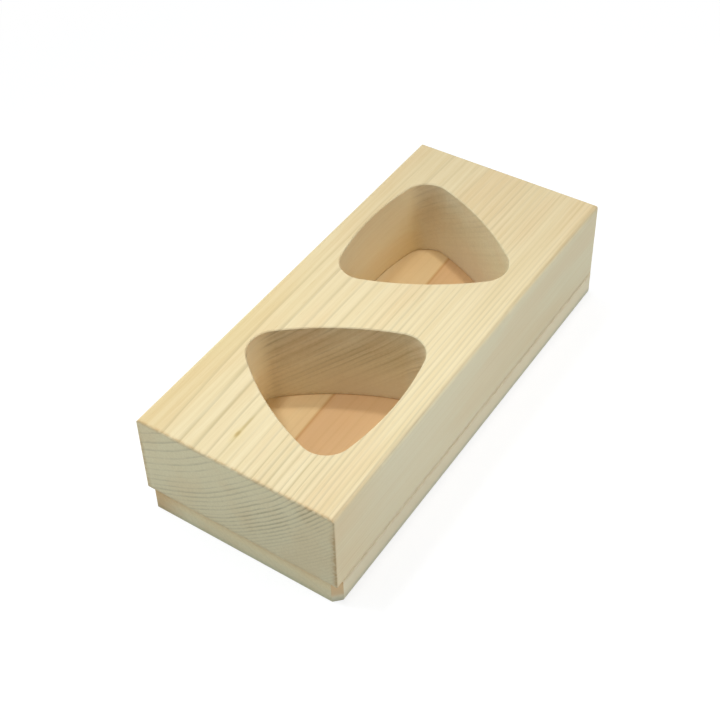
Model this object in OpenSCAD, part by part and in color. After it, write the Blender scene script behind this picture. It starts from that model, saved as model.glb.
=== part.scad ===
// Wooden press mould for two triangular rice balls.
// A thick block with two rounded-triangle cavities stands on a flat base
// board, which closes the cavities from below. Rice is pressed in from
// above, then the block is lifted straight off the base.
// Millimetres. X runs along the grain, from the near end to the far end,
// and Z is up. The origin is the middle of the block's outline, at the
// underside of the base.

/* [Mould block] */
// Length of the block, along the grain
block_l = 206; // [190:1:260]
// Width of the block
block_w = 90; // [75:1:130]
// Height of the block, which is also the depth of the cavities
block_h = 38.5; // [20:0.5:60]
// Radius that softens the outer edges of the block
block_round = 0.8; // [0.2:0.1:3]
// Radius of the block's two long top edges, which are softened more
arris_round = 2; // [0.2:0.1:5]

/* [Cavity shape] */
// Width of a cavity across its two base corners
cavity_w = 71.4; // [50:0.1:90]
// Height of a cavity, from the middle of its base to its apex
cavity_h = 66.8; // [50:0.1:72]
// Radius of the apex corner
apex_r = 12; // [6:0.1:18]
// Radius of the two base corners
corner_r = 11.3; // [6:0.1:18]
// Radius of the gentle bulge of the two sides
side_bulge_r = 130; // [90:1:400]
// Radius of the gentle bulge of the triangle's base
base_bulge_r = 125; // [90:1:400]
// Bevel round the mouth and the foot of each cavity
cavity_bevel = 0.4; // [0.2:0.1:2]

/* [Cavity places] */
// Wood left between the two cavities
cavity_gap = 17.2; // [6:0.1:25]
// How far the pair sits from the middle of the block, towards the far end
pair_shift = -0.7; // [-5:0.1:5]
// How far each cavity's middle sits from the centre line, near then far
cavity_offsets = [0.1, 1.5]; // [-4:0.1:4]

/* [Base] */
// Thickness of the base
base_t = 11; // [6:0.5:20]
// How far the base stops short of the block at the near end
base_setback = 0.6; // [0:0.1:4]
// Size of the corner cut off each side of the base's near end
base_clip = 3.3; // [1:0.1:12]
// Radius that softens the other edges of the base
base_round = 0.4; // [0.2:0.1:2]
// Place of the glued joint between the two boards, from the centre line
joint_y = 11.8; // [-20:0.1:20]
// How far the joint runs out of line with the base's sides, in degrees
joint_turn = 2; // [-4:0.1:4]

/* [Hidden] */
$fn = 96;

block_colour = [0.95, 0.89, 0.72];
wide_board_colour = [0.88, 0.68, 0.48];
narrow_board_colour = [0.89, 0.75, 0.52];

// How far a cutter reaches past the face that it cuts
overrun = 1;
// Extra radius of the corner discs, so that arcs that would only touch
// cross by about a degree
corner_overlap = 0.003;

// The cavities alternate: the near one points to +Y, the far one to -Y
cavity_pitch = cavity_w + cavity_gap;
cavity_turns = [0, 180];

// Centres of the three corner arcs, about the middle of the triangle's
// height: two at the base, then the apex. The bulge of the base reaches
// below the centres of its corners by base_dip.
corner_x = cavity_w / 2 - corner_r;
base_dip = base_bulge_r - sqrt(pow(base_bulge_r - corner_r, 2) - pow(corner_x, 2));
corners = [[-corner_x, base_dip - cavity_h / 2],
           [corner_x, base_dip - cavity_h / 2],
           [0, cavity_h / 2 - apex_r]];
corner_radii = [corner_r, corner_r, apex_r];
// Bulge i runs from corner i to the next one, anticlockwise
bulge_radii = [base_bulge_r, side_bulge_r, side_bulge_r];

// Centre of the arc that bulges from corner i to corner j and is tangent
// to both corner arcs
function bulge_centre(i, j) =
    let (r = bulge_radii[i],
         from_i = r - corner_radii[i],
         from_j = r - corner_radii[j],
         span = norm(corners[j] - corners[i]),
         along = (pow(from_i, 2) - pow(from_j, 2) + pow(span, 2)) / (2 * span),
         inward = sqrt(pow(from_i, 2) - pow(along, 2)),
         dir = (corners[j] - corners[i]) / span)
    corners[i] + along * dir + inward * [-dir[1], dir[0]];

bulge_centres = [for (i = [0:2]) bulge_centre(i, (i + 1) % 3)];

// The point where bulge i is tangent to corner k, moved outwards by out
function tangent_point(i, k, out = 0) =
    let (away = corners[k] - bulge_centres[i])
    bulge_centres[i] + away / norm(away) * (bulge_radii[i] + out);

// A solid of the cavity's outline, which widens by flare from its foot to
// its top. The arcs of every level share their centres, so that the
// outlines stay parallel. The discs of the three bulges meet in sharp
// corners: the core cuts these off between the tangent points and stays
// clear of the bulges, and the corner discs take their place.
module cavity_solid(height, flare = 0) {
    reach = max(corner_radii);
    for (i = [0:2]) {
        r = corner_radii[i] + corner_overlap;
        translate(corners[i])
            cylinder(r1 = r, r2 = r + flare, h = height);
    }
    intersection() {
        linear_extrude(height)
            polygon([for (i = [0:2]) each [
                tangent_point(i, i), tangent_point(i, i, reach),
                tangent_point(i, (i + 1) % 3, reach), tangent_point(i, (i + 1) % 3)]]);
        intersection_for (i = [0:2])
            translate(bulge_centres[i])
                cylinder(r1 = bulge_radii[i], r2 = bulge_radii[i] + flare, h = height);
    }
}

// A cavity right through the block, with its foot on the base at z = 0
module cavity() {
    translate([0, 0, -overrun])
        cavity_solid(block_h + 2 * overrun);
    translate([0, 0, block_h - cavity_bevel])
        cavity_solid(cavity_bevel + overrun, cavity_bevel + overrun);
    mirror([0, 0, 1])
        translate([0, 0, -cavity_bevel])
            cavity_solid(cavity_bevel + overrun, cavity_bevel + overrun);
}

// A rectangle from the origin with its corners rounded: the two at y = 0 by
// r and the two at y = b by top_r
module rounded_rectangle(a, b, r, top_r) {
    translate([r, 0])
        square([a - 2 * r, b - top_r]);
    translate([top_r, r])
        square([a - 2 * top_r, b - r]);
    translate([0, r])
        square([a, b - r - top_r]);
    for (x = [r, a - r])
        translate([x, r])
            circle(r);
    for (x = [top_r, a - top_r])
        translate([x, b - top_r])
            circle(top_r);
}

// A box from the origin with its edges rounded: the two top ones along X by
// top_r and the others by r
module rounded_box(l, w, h, r, top_r) {
    intersection() {
        linear_extrude(h)
            rounded_rectangle(l, w, r, r);
        translate([0, w, 0])
            rotate([90, 0, 0])
                linear_extrude(w)
                    rounded_rectangle(l, h, r, r);
        rotate([90, 0, 90])
            linear_extrude(l)
                rounded_rectangle(w, h, r, top_r);
    }
}

module mould_block() {
    color(block_colour)
        translate([0, 0, base_t])
            difference() {
                translate([-block_l / 2, -block_w / 2, 0])
                    rounded_box(block_l, block_w, block_h, block_round, arris_round);
                for (i = [0, 1])
                    translate([pair_shift + (i - 0.5) * cavity_pitch, cavity_offsets[i], 0])
                        rotate(cavity_turns[i])
                            cavity();
            }
}

// The whole base before it is parted at the glued joint
module base_blank() {
    base_l = block_l - base_setback;
    intersection() {
        translate([base_setback - block_l / 2, -block_w / 2, 0])
            rounded_box(base_l, block_w, base_t, base_round, base_round);
        linear_extrude(base_t)
            translate([base_setback - block_l / 2, 0])
                polygon([[0, base_clip - block_w / 2], [base_clip, -block_w / 2],
                         [base_l, -block_w / 2], [base_l, block_w / 2],
                         [base_clip, block_w / 2], [0, block_w / 2 - base_clip]]);
    }
}

// The part of the base on one side of the glued joint: side is -1 for the
// side towards -Y and 1 for the other
module base_board(side) {
    intersection() {
        base_blank();
        translate([0, joint_y, 0])
            rotate(joint_turn)
                translate([-block_l, min(side, 0) * 2 * block_w, 0])
                    cube([2 * block_l, 2 * block_w, base_t]);
    }
}

module base_board_wide() {
    color(wide_board_colour)
        base_board(-1);
}

module base_board_narrow() {
    color(narrow_board_colour)
        base_board(1);
}

mould_block();
base_board_wide();
base_board_narrow();
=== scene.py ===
"""The looks of a wooden press mould for two triangular rice balls.

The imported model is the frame: a thick block with two cavities, on a base of
two glued boards, all of pale softwood. This script gives each of its nodes a
wood material, and adds the light, the floor and the camera.

The wood is described in millimetres in the model's own frame: X along the
grain, Z up, and the origin at the middle of the underside. Everything else
is in metres.
"""

from math import pi, radians

import bpy
from mathutils import Matrix, Vector


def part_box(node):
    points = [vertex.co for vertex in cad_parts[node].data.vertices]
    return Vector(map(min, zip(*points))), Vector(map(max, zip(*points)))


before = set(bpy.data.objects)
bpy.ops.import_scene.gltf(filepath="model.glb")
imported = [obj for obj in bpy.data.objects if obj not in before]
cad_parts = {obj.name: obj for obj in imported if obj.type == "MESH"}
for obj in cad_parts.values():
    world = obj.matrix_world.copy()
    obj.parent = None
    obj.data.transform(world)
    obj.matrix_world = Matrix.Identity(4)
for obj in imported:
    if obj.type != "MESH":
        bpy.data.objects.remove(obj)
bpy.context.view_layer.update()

MM = 0.001

# The camera, at the photograph's viewing angle. The photograph is a crop, so
# the axis of the lens doesn't meet the middle of the picture
CAMERA_AIM = (0.01532, 0.05025, 0.025)
CAMERA_DISTANCE = 0.60735
CAMERA_TURN = -52.746
CAMERA_TILT = 48.479
CAMERA_ROLL = -3.621
CAMERA_LENS = 69.06
CAMERA_SHIFT = (0.0743, -0.1037)
SENSOR_WIDTH = 36

# The light: an even sky, a broad cool glow from one side, and three lamps.
# With all of them, a colour on the top shows about as it is written
SKY_LEVEL = 0.2
GLOW_LEVEL = 1.5
GLOW_FROM = (-0.077, 0.959, 0.259)
GLOW_COLOUR = (0.84, 1.02, 1.12)
FAR_LAMP = {"level": 0.26, "place": (0.105, -0.03, 0.46), "aim": (0.105, -0.03, 0.0),
            "size": 0.03, "colour": (1.01, 1.0, 0.98)}
NEAR_LAMP = {"level": 0.3, "place": (-0.16, 0.10, 0.45), "aim": (-0.16, 0.10, 0.0),
             "size": 0.05, "colour": (0.97, 0.99, 1.05)}
SOFTBOX = {"level": 0.19, "place": (0.04, -0.47, 0.305), "aim": (0.0, 0.0, 0.03),
           "size": 0.25, "colour": (1.0, 1.0, 1.08)}

# The floor: white to the camera apart from a faint shadow near the object
FLOOR_SIZE = 6.0
FLOOR_COLOUR = 0.75
FLOOR_SHADE = 0.30
FLOOR_GLOW = 0.78
FLOOR_NEAR = 0.20
FLOOR_FAR = 0.40

# The wood. Its places and sizes are in mm. A step tells where a change
# starts and ends, and then what it goes from and to, unless that is 0 and 1.
# Grains tell how many grains of a noise there are to a mm along X, Y and Z

# The way that a face looks, by the size of its normal along an axis
END_GRAIN_STEP = (0.25, 0.95)
UPRIGHT_STEP = (0.3, 0.8, 1.0, 0.0)
SIDEWAYS_STEP = (0.5, 0.95)
SIDE_STEP = (0.7, 0.95)
NOT_END_STEP = (0.8, 0.95, 1.0, 0.0)
CLIP_NORMAL = 0.7
CLIP_NORMAL_REACH = 0.25

# The waves in the rings: the grains, the detail and the size of each
WAVES = (((0.008, 0.035, 0.035), 1, 1.6),
         ((0.03, 0.22, 0.22), 2, 0.5))
NOISE_MIDDLE = 0.5

# The latewood, the dark line that ends each ring: the width of the weakest
# and the strongest, the most of a ring that it takes up, how it starts and
# ends, and what its strength is made of
SEED = 7.3
LATE_WIDTH = (0.8, 1.8)
LATE_SHARE = 0.6
LATE_START = 0.05
LATE_EDGE = 0.4
DRIFT_GRAINS = (0.014, 0.11, 0.11)
DRIFT_STEP = (0.30, 0.70)
RING_FORCE = 0.55
DRIFT_FORCE = 0.45

# The fine fibres, as grains and share, and the other marks of clean wood
FIBRES = (((0.02, 0.9, 0.9), 0.55),
          ((0.06, 3.2, 3.2), 0.45))
TOP_RINGS = 0.9
SIDE_STREAKS = 0.45
STREAK_GRAINS = (0.012, 0.4, 0.4)
STREAK_STEP = (0.30, 0.70)
STREAK_SHARE = 0.6
DULL_STEP = (0.40, 0.62, 0.0, 0.5)
DASH_GRAINS = (0.16, 3.6, 3.6)
DASH_STEP = (0.66, 0.80, 0.0, 0.3)
DOT_STEP = (0.36, 0.66, 0.0, 0.4)
PATCH_GRAINS = (0.012, 0.05, 0.05)
PATCH_STEP = (0.42, 0.66, 0.0, 0.7)
BANDS_PER_MM = 0.35
BAND_DETAIL = 2.0
BAND_STEP = (0.38, 0.62)

# The surface along the grain and across it
FIBRE_DEPTHS = (0.03, 0.012)
RING_DEPTH = 0.02
ROUGHNESS = (0.55, 0.75)
IOR = 1.45
SPECULAR = 0.35

# The short uneven marks along edges: how far they reach and how dark they are
MARK_GRAINS = (0.5, 0.5, 0.9)
MARK_STEP = (0.38, 0.60, 0.35, 1.0)
CROWN_REACH = 1.8
CROWN_MARKS = 0.55
UPRIGHT_REACH = 3
UPRIGHT_MARKS_STEP = (40, 44, 0.7, 0.2)
# The marks along the seam between block and base are partly a dark joint line and partly painted
# shade, which also darkens the foot of the cavity walls
SEAM_REACH = 2.6
SEAM_MARKS_AND_SHADE = 0.45

# The block: its growth, and how much its rings show on its ends. They show
# most in a dense zone of close rings, and least low down towards -Y. LEAN is
# the height that a mm towards +Y counts for
BLOCK_GROWTH = {"pith": (105, 165), "bend": (0.0075, -1.6e-4),
                "rings": (140, 0.24, 0.0085, 0.2)}
BLOCK_SIDE_RINGS = 0.12
FAR_LATE = 0.45
END_RINGS = 0.5
DENSE_RINGS = 0.7
DENSE_RADIUS = 180
DENSE_REACH = 12
LEAN = 0.35
FADE_STEP = (0, 35, 0.35, 1.0)
# Where the painted shade on the block's ends starts and ends, low down towards -Y
END_PAINTED_SHADE_STEP = (55, 0)

# The walls of the cavities, which lie further in from the block's sides than
# RIM. FARTHER_STEP goes from the near cavity to the far one
RIM = (4, 2)
FARTHER_STEP = (20, 60)
WALL_PATCH_GRAINS = (0.04, 0.06, 0.06)
WALL_PATCH_STEP = (0.38, 0.62, 0.3, 1.0)
WALL_RINGS_UP_STEP = (15, 42, 0.3, 1.0)
WALL_RINGS_ACROSS_STEP = (-30, 25, 0.45, 1.1)
FAR_WALL_RINGS = 0.7
WALL_PALENESS = 0.4
# How much painted shade darkens the end grain of the cavity walls
WALL_PAINTED_SHADE = 0.5
# Painted shade on the cavity walls: how it grows upwards, and across the far cavity towards +Y
CAVITY_SHADE_UP_STEP = (11, 45, 0.4, 1.0)
FAR_CAVITY_SHADE_STEP = (-10, 25, 0.3, 1.0)
BANDED_STEP = (13, 38, 0.3, 1.0)
FAR_BANDS = 0.35
LOW_WALL_STEP = (11, 38, 0.6, 0.0)
LOW_WALL_ACROSS_STEP = (0, 30, 1.0, 0.5)

# The tone over the block's top and sides: painted shade towards the far end, a warmer tint on the
# sides by the near end, and warmer heartwood towards +Y on the top
SIDE_NEAR_STEP = (-60, -100)
SIDE_FAR_STEP = (-60, 80)
FAR_FROM = -40
WARM_FROM = 22
WARM_STEP = (-50, 25, 1.0, 0.3)

# The base: the growth of its two boards, the pale sapwood at its sides, the
# tones of its ends from foot to seam with painted shade at the foot, its cut-off
# corners, the stain on its near end, painted shade along its foot and over its
# far top, and the glued joint
WIDE_GROWTH = {"pith": (-90, 110), "bend": (0.004, 5e-5), "rings": (90, 0.22, 0.004, 0.0)}
NARROW_GROWTH = {"pith": (110, -60), "bend": (0.004, 5e-5), "rings": (60, 0.22, 0.002, 0.4)}
BOARD_SIDE_RINGS = 0.2
BOARD_END_RINGS = 0.12
BOARD_GRAIN = 0.3
SAPWOOD_STEP = (30, 43)
BOARD_SEAM_STEP = (5, 8)
BOARD_FOOT_SHADE_STEP = (5, 8, 0.6, 0.0)
BOARD_FAR_SHADE_STEP = (5, 40)
CLIP_STEP = (2, 5)
STAIN_STEP = (24, 41)
FOOT_SHADE_REACH = 4
JOINT_REACH = 1.3

# The knot in the top by the near end, and the streak behind it
KNOT_PLACE = (-88, 8, 49.5)
TAIL_PLACE = (-82, 8, 49.5)
KNOT_STEP = (0.2, 1.0, 1.0, 0.0)


def tone(red, green, blue):
    """A colour given as it shows on a screen, from 0 to 255, as a shader takes it."""
    def linear(value):
        share = value / 255
        return share / 12.92 if share <= 0.04045 else ((share + 0.055) / 1.055) ** 2.4
    return (linear(red), linear(green), linear(blue), 1.0)


BLOCK_EARLY = tone(240, 221, 178)
BLOCK_LATE = tone(204, 186, 144)
SIDE_EARLY = tone(252, 242, 205)
WIDE_EARLY = tone(228, 188, 139)
WIDE_LATE = tone(223, 182, 132)
NARROW_EARLY = tone(238, 210, 160)
NARROW_LATE = tone(232, 203, 152)
SAPWOOD = tone(253, 242, 206)
END_EARLY = tone(238, 225, 186)
END_LATE = tone(181, 167, 131)
STREAK_TINT = tone(247, 243, 234)
DULL_TINT = tone(246, 242, 232)
DASH_TINT = tone(230, 206, 172)
PATCH_TINT = tone(253, 246, 240)
DOT_TINT = tone(236, 232, 222)
EDGE_TINT = tone(218, 190, 158)
# Painted shade for end grain: low on the block's ends, in the cavities and at the foot of the
# base's ends
END_PAINTED_SHADE = tone(240, 240, 241)
SIDE_NEAR_TINT = tone(255, 250, 244)
# Painted shade along the far part of the block's sides
SIDE_FAR_PAINTED_SHADE = tone(247, 247, 245)
# Painted shade along the foot of the base, by the floor
FOOT_PAINTED_SHADE = tone(226, 233, 236)
STAIN_TINT = tone(241, 223, 207)
BOARD_END_TINT = tone(255, 250, 244)
# Painted shade over the boards' top towards the far end
BOARD_FAR_PAINTED_SHADE = tone(249, 249, 248)
CLIP_TINT = tone(243, 222, 202)
JOINT_TINT = tone(236, 220, 202)
# Painted shade on the cavity walls
CAVITY_PAINTED_SHADE = tone(242, 239, 240)
BAND_TINT = tone(241, 237, 230)
LOW_WALL = tone(232, 220, 197)
# Painted shade over the far end of the block's top
FAR_PAINTED_SHADE = tone(240, 238, 237)
WARM_TINT = tone(247, 243, 230)
KNOT_TINT = tone(224, 214, 190)
TAIL_TINT = tone(240, 235, 220)
HALO_TINT = tone(255, 252, 240)

# The marks of the knot: the place, the radii and the tint of each
KNOT_MARKS = ((KNOT_PLACE, (7, 2.4, 3), HALO_TINT),
              (TAIL_PLACE, (7, 0.9, 3), TAIL_TINT),
              (KNOT_PLACE, (2.8, 1.1, 3), KNOT_TINT))


class Graph:
    """The node graph of a material or the world, built one node a call."""

    def __init__(self, owner):
        owner.use_nodes = True
        self.owner = owner
        self.tree = owner.node_tree
        self.tree.nodes.clear()

    def plug(self, socket, value):
        if isinstance(value, bpy.types.NodeSocket):
            self.tree.links.new(value, socket)
        else:
            socket.default_value = value

    def source(self, kind):
        return self.tree.nodes.new(kind).outputs

    def node(self, kind, inputs=None, output=0, **settings):
        node = self.tree.nodes.new(kind)
        for key, value in settings.items():
            setattr(node, key, value)
        for key, value in (inputs or {}).items():
            self.plug(node.inputs[key], value)
        return node.outputs[output] if node.outputs else None

    def math(self, operation, *values):
        return self.node("ShaderNodeMath", dict(enumerate(values)), operation=operation)

    def add(self, *values):
        total = values[0]
        for value in values[1:]:
            total = self.math("ADD", total, value)
        return total

    def times(self, *values):
        product = values[0]
        for value in values[1:]:
            product = self.math("MULTIPLY", product, value)
        return product

    def less(self, a, b):
        return self.math("SUBTRACT", a, b)

    def most(self, *values):
        top = values[0]
        for value in values[1:]:
            top = self.math("MAXIMUM", top, value)
        return top

    def vector(self, operation, *values):
        return self.node("ShaderNodeVectorMath", dict(enumerate(values)), operation=operation)

    def split(self, vector):
        node = self.tree.nodes.new("ShaderNodeSeparateXYZ")
        self.plug(node.inputs[0], vector)
        return node.outputs

    def rise(self, value, low, high, start=0.0, end=1.0):
        """A smoothstep from start to end as value goes from low to high."""
        inputs = {0: value, 1: low, 2: high, 3: start, 4: end}
        return self.node("ShaderNodeMapRange", inputs, interpolation_type="SMOOTHSTEP")

    def near(self, value, place, reach):
        """1 where value is at place, falling to 0 at reach from it."""
        return self.rise(self.math("ABSOLUTE", self.less(value, place)), 0.0, reach, 1.0, 0.0)

    def mix(self, share, a, b, blend="MIX"):
        return self.node("ShaderNodeMix", {0: share, 6: a, 7: b}, output=2,
                         data_type="RGBA", blend_type=blend)

    def tint(self, share, base, colour):
        return self.mix(share, base, colour, blend="MULTIPLY")

    def mix_value(self, share, a, b):
        return self.node("ShaderNodeMix", {0: share, 2: a, 3: b})


class Wood(Graph):
    """Softwood with its growth rings round a pith that runs about along X.

    pith is the place of the pith at x = 0, in Y and Z, and bend is its rise
    for each mm along X and for each mm squared. rings gives the distance
    from the pith at which the count starts, the rings per mm there, the
    growth of that number for each mm outwards, and the first ring's phase.
    """

    def __init__(self, node, pith, bend, rings):
        super().__init__(bpy.data.materials.new(node + "_wood"))
        texture = self.source("ShaderNodeTexCoord")
        self.place = self.node("ShaderNodeVectorMath", {0: texture["Object"], 3: 1 / MM},
                               operation="SCALE")
        self.x, self.y, self.z = self.split(self.place)
        self.face = [self.math("ABSOLUTE", axis) for axis in self.split(texture["Normal"])]
        self.end_grain = self.rise(self.face[0], *END_GRAIN_STEP)
        self.upright = self.rise(self.face[2], *UPRIGHT_STEP)
        self.low, self.high = box_mm(node)
        self.radius = self.from_pith(pith, bend)
        self.late = self.latewood(*rings)
        self.fibre = self.fibres()

    def noise(self, grains, detail=2.0):
        """Noise from 0 to 1 through the wood."""
        inputs = {"Vector": self.vector("MULTIPLY", self.place, grains), "Scale": 1.0,
                  "Detail": detail, "Roughness": 0.5}
        return self.node("ShaderNodeTexNoise", inputs)

    def from_pith(self, pith, bend):
        """The distance from the pith, with waves in it."""
        slope, bow = bend
        lift = self.add(self.times(self.x, slope), self.times(self.x, self.x, bow))
        out_y = self.less(self.y, pith[0])
        out_z = self.less(self.less(self.z, pith[1]), lift)
        radius = self.math("SQRT", self.add(self.times(out_y, out_y), self.times(out_z, out_z)))
        for grains, detail, size in WAVES:
            wave = self.less(self.noise(grains, detail), NOISE_MIDDLE)
            radius = self.add(radius, self.times(wave, size))
        return radius

    def latewood(self, start, rate, growth, phase):
        """How much of the wood is latewood. Its lines differ in width and in strength."""
        past = self.less(self.radius, start)
        count = self.add(self.times(past, rate), self.times(past, past, growth / 2), phase)
        width = self.math("DIVIDE", 1.0, self.add(self.times(past, growth), rate))
        into = self.math("FRACT", count)
        ring = self.add(self.math("FLOOR", count), SEED)
        force = self.node("ShaderNodeTexWhiteNoise", {1: ring}, noise_dimensions="1D")
        band = self.math("MINIMUM", self.rise(force, 0.0, 1.0, *LATE_WIDTH),
                         self.times(width, LATE_SHARE))
        before = self.rise(self.times(self.less(1.0, into), width), LATE_START, band, 1.0, 0.0)
        after = self.rise(self.times(into, width), 0.0, LATE_EDGE, 1.0, 0.0)
        drift = self.rise(self.noise(DRIFT_GRAINS), *DRIFT_STEP)
        strength = self.add(self.times(force, RING_FORCE), self.times(drift, DRIFT_FORCE))
        return self.times(self.most(self.times(before, before), after), strength)

    def bands(self):
        """Broad soft bands that follow the rings, a few mm apart, from 0 to 1."""
        inputs = {"W": self.times(self.radius, BANDS_PER_MM), "Scale": 1.0, "Detail": BAND_DETAIL}
        noise = self.node("ShaderNodeTexNoise", inputs, noise_dimensions="1D")
        return self.rise(noise, *BAND_STEP)

    def fibres(self):
        """Fine streaks along the grain, which are dots on the end grain."""
        return self.add(*[self.times(self.noise(grains), share) for grains, share in FIBRES])

    def clean_colour(self, early, late, side_rings, end_rings, grain=1.0):
        """The colour of clean wood. It also sets relief, how far the rings stand out.

        side_rings and end_rings are how much the rings show on a face
        towards Y and on the end grain, and grain how much the streaks show.
        """
        self.relief = self.mix_value(self.end_grain, self.late, self.times(self.late, end_rings))
        along = self.along_grain(early, late, side_rings, grain)
        across = self.mix(self.times(self.late, end_rings), END_EARLY, END_LATE)
        across = self.tint(self.rise(self.fibre, *DOT_STEP), across, DOT_TINT)
        patches = self.rise(self.noise(PATCH_GRAINS), *PATCH_STEP)
        return self.tint(patches, self.mix(self.end_grain, along, across), PATCH_TINT)

    def along_grain(self, early, late, side_rings, grain):
        """The colour of a face along the grain: its rings, streaks and short dark dashes."""
        shown = self.times(self.late, self.rise(self.face[1], *SIDE_STEP, TOP_RINGS, side_rings))
        colour = self.mix(shown, early, late)
        grain = self.rise(self.face[1], *SIDE_STEP, grain, SIDE_STREAKS * grain)
        streaks = self.rise(self.noise(STREAK_GRAINS, detail=1), *STREAK_STEP)
        colour = self.tint(self.times(streaks, grain, STREAK_SHARE), colour, STREAK_TINT)
        dull = self.rise(self.fibre, *DULL_STEP)
        colour = self.tint(self.times(dull, grain), colour, DULL_TINT)
        dashes = self.rise(self.noise(DASH_GRAINS, detail=1), *DASH_STEP)
        return self.tint(self.times(dashes, grain), colour, DASH_TINT)

    def ragged(self, share, colour):
        """Darkens by the share given, in short uneven marks."""
        marks = self.rise(self.noise(MARK_GRAINS, detail=3), *MARK_STEP)
        return self.tint(self.times(share, marks), colour, EDGE_TINT)

    def finish(self, colour):
        """Ends the graph in its shader. The rings and the fibres give the surface a fine relief."""
        depth = self.rise(self.end_grain, 0.0, 1.0, *FIBRE_DEPTHS)
        height = self.add(self.times(self.relief, RING_DEPTH), self.times(self.fibre, depth))
        bump = self.node("ShaderNodeBump", {"Height": height, "Distance": MM, "Strength": 1.0})
        shader = self.node("ShaderNodeBsdfPrincipled", {
            "Base Color": colour, "Normal": bump, "IOR": IOR, "Specular IOR Level": SPECULAR,
            "Roughness": self.rise(self.end_grain, 0.0, 1.0, *ROUGHNESS)})
        self.node("ShaderNodeOutputMaterial", {"Surface": shader})
        return self.owner


def box_mm(node):
    """The two corners of a node's box."""
    return [[value / MM for value in corner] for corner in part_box(node)]


def block_wood():
    """The wood of the block, whose rings fade towards its far end."""
    wood = Wood("mould_block", **BLOCK_GROWTH)
    inside = inside_cavities(wood)
    farther = wood.rise(wood.x, *FARTHER_STEP)
    faded = wood.rise(wood.x, wood.low[0], wood.high[0], 1.0, FAR_LATE)
    wood.late = wood.times(wood.late, faded)
    end_rings = wood.mix_value(inside, outer_rings(wood), wall_rings(wood, farther))
    sideways = wood.times(wood.rise(wood.face[1], *SIDEWAYS_STEP),
                          wood.mix_value(inside, 1.0, WALL_PALENESS))
    early = wood.mix(sideways, BLOCK_EARLY, SIDE_EARLY)
    colour = wood.clean_colour(early, BLOCK_LATE, BLOCK_SIDE_RINGS, end_rings)
    colour = cavity_walls_with_painted_shade(wood, colour, inside, farther)
    colour = paint_end_shade(wood, colour, inside)
    colour = shade_sides(wood, colour, inside)
    colour = shade_top(wood, colour)
    colour = pin_knot(wood, colour)
    return wood.finish(block_edges(wood, colour))


def inside_cavities(wood):
    """1 on the walls of the cavities and 0 on the block's other faces."""
    within = []
    for axis, value in enumerate((wood.x, wood.y)):
        outward = wood.math("ABSOLUTE", value)
        rim = [wood.high[axis] - width for width in RIM]
        within.append(wood.rise(outward, *rim, 1.0, 0.0))
    return wood.times(*within, wood.upright)


def outer_rings(wood):
    """How much the rings show on the block's two ends."""
    dense = wood.near(wood.radius, DENSE_RADIUS, DENSE_REACH)
    shown = wood.add(wood.times(dense, DENSE_RINGS), END_RINGS)
    return wood.times(shown, wood.rise(leaning_height(wood), *FADE_STEP))


def leaning_height(wood):
    return wood.add(wood.z, wood.times(wood.y, LEAN))


def wall_rings(wood, farther):
    """How much the rings show on the walls of the cavities, which is in patches."""
    patches = wood.rise(wood.noise(WALL_PATCH_GRAINS), *WALL_PATCH_STEP)
    return wood.times(patches, wood.rise(wood.z, *WALL_RINGS_UP_STEP),
                      wood.rise(wood.y, *WALL_RINGS_ACROSS_STEP),
                      wood.mix_value(farther, 1.0, FAR_WALL_RINGS))


def cavity_walls_with_painted_shade(wood, colour, inside, farther):
    """The end grain that the cutter left in the cavities: darkened by painted shade, most up high
    and in the far cavity mostly in its corner towards +Y, banded, and tan at its foot.
    """
    milled = wood.times(inside, wood.end_grain)
    # Painted shade on the cavity walls
    cavity_shade = wood.times(milled, wood.rise(wood.z, *CAVITY_SHADE_UP_STEP),
                        wood.mix_value(farther, 1.0, wood.rise(wood.y, *FAR_CAVITY_SHADE_STEP)))
    colour = wood.tint(cavity_shade, colour, CAVITY_PAINTED_SHADE)
    banded = wood.times(milled, wood.bands(), wood.rise(wood.z, *BANDED_STEP),
                        wood.mix_value(farther, 1.0, FAR_BANDS))
    colour = wood.tint(banded, colour, BAND_TINT)
    low = wood.times(milled, wood.rise(wood.z, *LOW_WALL_STEP),
                     wood.rise(wood.y, *LOW_WALL_ACROSS_STEP))
    return wood.mix(low, colour, LOW_WALL)


def paint_end_shade(wood, colour, inside):
    """Painted shade on the end grain: on the ends low down towards -Y, and evenly in the cavities.
    """
    low = wood.rise(leaning_height(wood), *END_PAINTED_SHADE_STEP)
    shade = wood.times(wood.end_grain, wood.mix_value(inside, low, WALL_PAINTED_SHADE))
    return wood.tint(shade, colour, END_PAINTED_SHADE)


def shade_sides(wood, colour, inside):
    """The tone along the block's two sides: warmer by the near end, and darkened by painted shade
    towards the far end.
    """
    outside = wood.times(wood.face[1], wood.less(1.0, inside))
    near = wood.times(outside, wood.rise(wood.x, *SIDE_NEAR_STEP))
    colour = wood.tint(near, colour, SIDE_NEAR_TINT)
    far = wood.times(outside, wood.rise(wood.x, *SIDE_FAR_STEP))
    return wood.tint(far, colour, SIDE_FAR_PAINTED_SHADE)


def shade_top(wood, colour):
    """The tone over the block's top: painted shade that darkens it towards the far end, and warmer
    towards +Y.
    """
    far = wood.times(wood.rise(wood.x, FAR_FROM, wood.high[0]), wood.face[2])
    colour = wood.tint(far, colour, FAR_PAINTED_SHADE)
    warm = wood.times(wood.rise(wood.y, WARM_FROM, wood.high[1]), wood.face[2],
                      wood.rise(wood.x, *WARM_STEP))
    return wood.tint(warm, colour, WARM_TINT)


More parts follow.
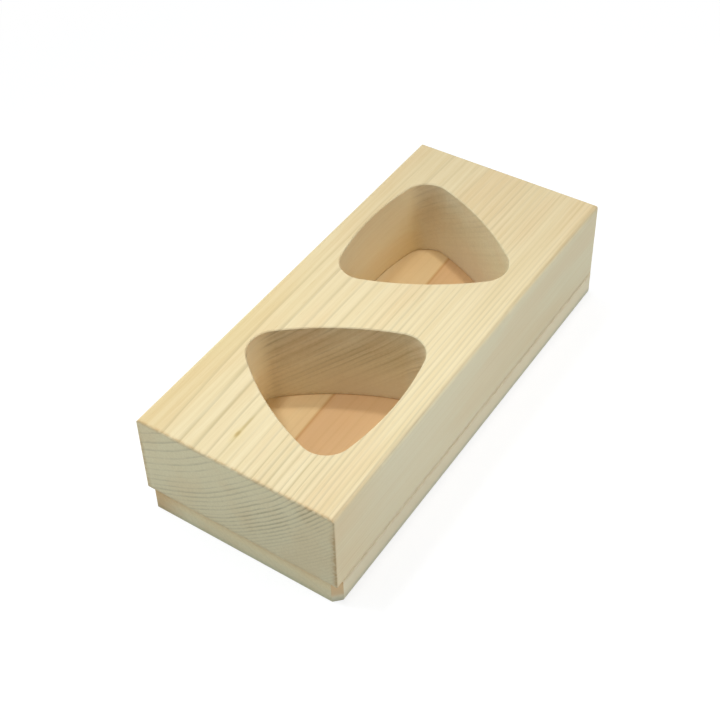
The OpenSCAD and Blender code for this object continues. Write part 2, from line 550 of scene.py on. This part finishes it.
def pin_knot(wood, colour):
    """A small dark streak in the top by the near end, with a paler halo round it."""
    for place, radii, tint in KNOT_MARKS:
        scaled = wood.vector("DIVIDE", wood.vector("SUBTRACT", wood.place, place), radii)
        away = wood.node("ShaderNodeVectorMath", {0: scaled}, output=1, operation="LENGTH")
        colour = wood.tint(wood.rise(away, *KNOT_STEP), colour, tint)
    return colour


def block_edges(wood, colour):
    """Marks on the block's near top edge and its upright edges, and along its foot a dark joint
    line with painted shade, which also darkens the foot of the cavity walls.
    """
    crown = wood.times(wood.near(wood.x, wood.low[0], CROWN_REACH),
                       wood.near(wood.z, wood.high[2], CROWN_REACH), CROWN_MARKS)
    sides = wood.most(wood.near(wood.y, wood.low[1], UPRIGHT_REACH),
                      wood.near(wood.y, wood.high[1], UPRIGHT_REACH))
    uprights = wood.times(sides, wood.end_grain, wood.rise(wood.z, *UPRIGHT_MARKS_STEP))
    foot = wood.times(wood.near(wood.z, wood.low[2], SEAM_REACH), wood.upright, SEAM_MARKS_AND_SHADE)
    return wood.ragged(wood.most(crown, uprights, foot), colour)


def board_wood(node, growth, early, late):
    """The heartwood of one board of the base, with pale sapwood at the base's sides."""
    wood = Wood(node, **growth)
    colour = wood.clean_colour(early, late, BOARD_SIDE_RINGS, BOARD_END_RINGS, BOARD_GRAIN)
    outward = wood.math("ABSOLUTE", wood.y)
    pale = wood.times(wood.rise(outward, *SAPWOOD_STEP), wood.rise(wood.face[0], *NOT_END_STEP))
    colour = wood.mix(pale, colour, SAPWOOD)
    colour = shade_board(wood, colour)
    colour = wood.tint(wood.times(glue_line(wood), wood.face[2]), colour, JOINT_TINT)
    return wood.finish(board_edges(wood, colour))


def shade_board(wood, colour):
    """The tones of a board's ends, with painted shade at their foot, painted shade over its far
    top, and the tone of the corners cut off its near end.
    """
    seam = wood.times(wood.end_grain, wood.rise(wood.z, *BOARD_SEAM_STEP))
    colour = wood.tint(seam, colour, BOARD_END_TINT)
    # Painted shade at the foot of the ends
    foot = wood.times(wood.end_grain, wood.rise(wood.z, *BOARD_FOOT_SHADE_STEP))
    colour = wood.tint(foot, colour, END_PAINTED_SHADE)
    # Painted shade over the top towards the far end
    far = wood.times(wood.face[2], wood.rise(wood.x, *BOARD_FAR_SHADE_STEP))
    colour = wood.tint(far, colour, BOARD_FAR_PAINTED_SHADE)
    clipped = wood.times(wood.near(wood.face[0], CLIP_NORMAL, CLIP_NORMAL_REACH),
                         wood.near(wood.face[1], CLIP_NORMAL, CLIP_NORMAL_REACH))
    return wood.tint(wood.times(clipped, wood.rise(wood.z, *CLIP_STEP)), colour, CLIP_TINT)


def glue_line(wood):
    """1 where the two boards of the base meet. Their boxes give the line's two ends."""
    far_end = box_mm("base_board_wide")[1]
    near_end = box_mm("base_board_narrow")[0]
    slope = (far_end[1] - near_end[1]) / (far_end[0] - near_end[0])
    line = wood.add(wood.times(wood.less(wood.x, near_end[0]), slope), near_end[1])
    return wood.near(wood.less(wood.y, line), 0.0, JOINT_REACH)


def board_edges(wood, colour):
    """A stain on the near end, painted shade along the foot, and marks along the seam under the
    block, which are partly a dark joint line and partly painted shade.
    """
    stain = wood.times(wood.rise(wood.y, *STAIN_STEP), wood.end_grain,
                       wood.rise(wood.x, 0, wood.low[0]))
    colour = wood.tint(stain, colour, STAIN_TINT)
    # Painted shade along the foot, by the floor
    foot = wood.times(wood.near(wood.z, wood.low[2], FOOT_SHADE_REACH), wood.upright)
    colour = wood.tint(foot, colour, FOOT_PAINTED_SHADE)
    # Along the seam under the block: a dark joint line with painted shade
    seam = wood.times(wood.near(wood.z, wood.high[2], SEAM_REACH), wood.upright, SEAM_MARKS_AND_SHADE)
    return wood.ragged(seam, colour)


def dress(node, material):
    """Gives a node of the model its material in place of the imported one."""
    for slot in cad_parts[node].material_slots:
        slot.material = material


def dress_wood():
    dress("mould_block", block_wood())
    for node, *kind in (("base_board_wide", WIDE_GROWTH, WIDE_EARLY, WIDE_LATE),
                        ("base_board_narrow", NARROW_GROWTH, NARROW_EARLY, NARROW_LATE)):
        dress(node, board_wood(node, *kind))


def grey(level):
    return (level, level, level, 1)


def add_sky():
    """The light of the sky, and plain white where it is seen or mirrored."""
    world = bpy.data.worlds.new("sky")
    bpy.context.scene.world = world
    graph = Graph(world)
    towards = graph.node("ShaderNodeVectorMath",
                         {0: graph.source("ShaderNodeTexCoord")["Generated"], 1: GLOW_FROM},
                         output=1, operation="DOT_PRODUCT")
    towards = graph.most(towards, 0.0)
    glow = graph.node("ShaderNodeBackground", {
        "Color": (*GLOW_COLOUR, 1), "Strength": graph.times(towards, towards, GLOW_LEVEL)})
    even = graph.node("ShaderNodeBackground", {"Color": grey(1), "Strength": SKY_LEVEL})
    light = graph.node("ShaderNodeAddShader", {0: glow, 1: even})
    white = graph.node("ShaderNodeBackground", {"Color": grey(1), "Strength": 1.0})
    surface = graph.node("ShaderNodeMixShader", {0: seen_directly(graph), 1: light, 2: white})
    graph.node("ShaderNodeOutputWorld", {"Surface": surface})


def seen_directly(graph):
    """1 for a ray from the camera, a mirrored one or one through glass."""
    rays = graph.source("ShaderNodeLightPath")
    return graph.most(rays["Is Camera Ray"], rays["Is Glossy Ray"], rays["Is Transmission Ray"])


def add_lamp(name, level, place, aim, size, colour):
    """A square lamp. A level of 1 lights a white surface at its aim fully."""
    data = bpy.data.lights.new(name, "AREA")
    data.shape = "SQUARE"
    data.size = size
    data.color = colour
    back = Vector(place) - Vector(aim)
    data.energy = level * pi * pi * back.length_squared
    lamp = bpy.data.objects.new(name, data)
    facing = back.to_track_quat("Z", "Y").to_matrix().to_4x4()
    lamp.matrix_world = Matrix.Translation(place) @ facing
    bpy.context.scene.collection.objects.link(lamp)


def add_lights():
    add_sky()
    add_lamp("far_lamp", **FAR_LAMP)
    add_lamp("near_lamp", **NEAR_LAMP)
    add_lamp("softbox", **SOFTBOX)


def floor_material():
    """White to the camera with a soft shadow near the object, plain diffuse to the light."""
    graph = Graph(bpy.data.materials.new("floor"))
    texture = graph.source("ShaderNodeTexCoord")
    distance = graph.node("ShaderNodeVectorMath", {0: texture["Object"]}, output=1,
                          operation="LENGTH")
    plain = graph.node("ShaderNodeBsdfDiffuse", {"Color": grey(FLOOR_COLOUR)})
    shade = graph.node("ShaderNodeBsdfDiffuse", {"Color": grey(FLOOR_SHADE)})
    glow = graph.node("ShaderNodeEmission", {"Color": grey(1), "Strength": FLOOR_GLOW})
    near = graph.node("ShaderNodeAddShader", {0: shade, 1: glow})
    white = graph.node("ShaderNodeEmission", {"Color": grey(1), "Strength": 1.0})
    far = graph.rise(distance, FLOOR_NEAR, FLOOR_FAR)
    shown = graph.node("ShaderNodeMixShader", {0: far, 1: near, 2: white})
    surface = graph.node("ShaderNodeMixShader", {0: seen_directly(graph), 1: plain, 2: shown})
    graph.node("ShaderNodeOutputMaterial", {"Surface": surface})
    return graph.owner


def add_floor():
    half = FLOOR_SIZE / 2
    mesh = bpy.data.meshes.new("floor")
    corners = [(-half, -half, 0), (half, -half, 0), (half, half, 0), (-half, half, 0)]
    mesh.from_pydata(corners, [], [(0, 1, 2, 3)])
    mesh.materials.append(floor_material())
    floor = bpy.data.objects.new("floor", mesh)
    bpy.context.scene.collection.objects.link(floor)


def add_camera():
    data = bpy.data.cameras.new("camera")
    data.lens = CAMERA_LENS
    data.sensor_width = SENSOR_WIDTH
    data.shift_x, data.shift_y = CAMERA_SHIFT
    camera = bpy.data.objects.new("camera", data)
    turn = (Matrix.Rotation(radians(CAMERA_TURN), 4, "Z")
            @ Matrix.Rotation(radians(CAMERA_TILT), 4, "X")
            @ Matrix.Rotation(radians(CAMERA_ROLL), 4, "Z"))
    back = Matrix.Translation((0, 0, CAMERA_DISTANCE))
    camera.matrix_world = Matrix.Translation(CAMERA_AIM) @ turn @ back
    bpy.context.scene.collection.objects.link(camera)
    bpy.context.scene.camera = camera


bpy.context.scene.view_settings.view_transform = "Standard"
add_camera()
dress_wood()
add_lights()
add_floor()
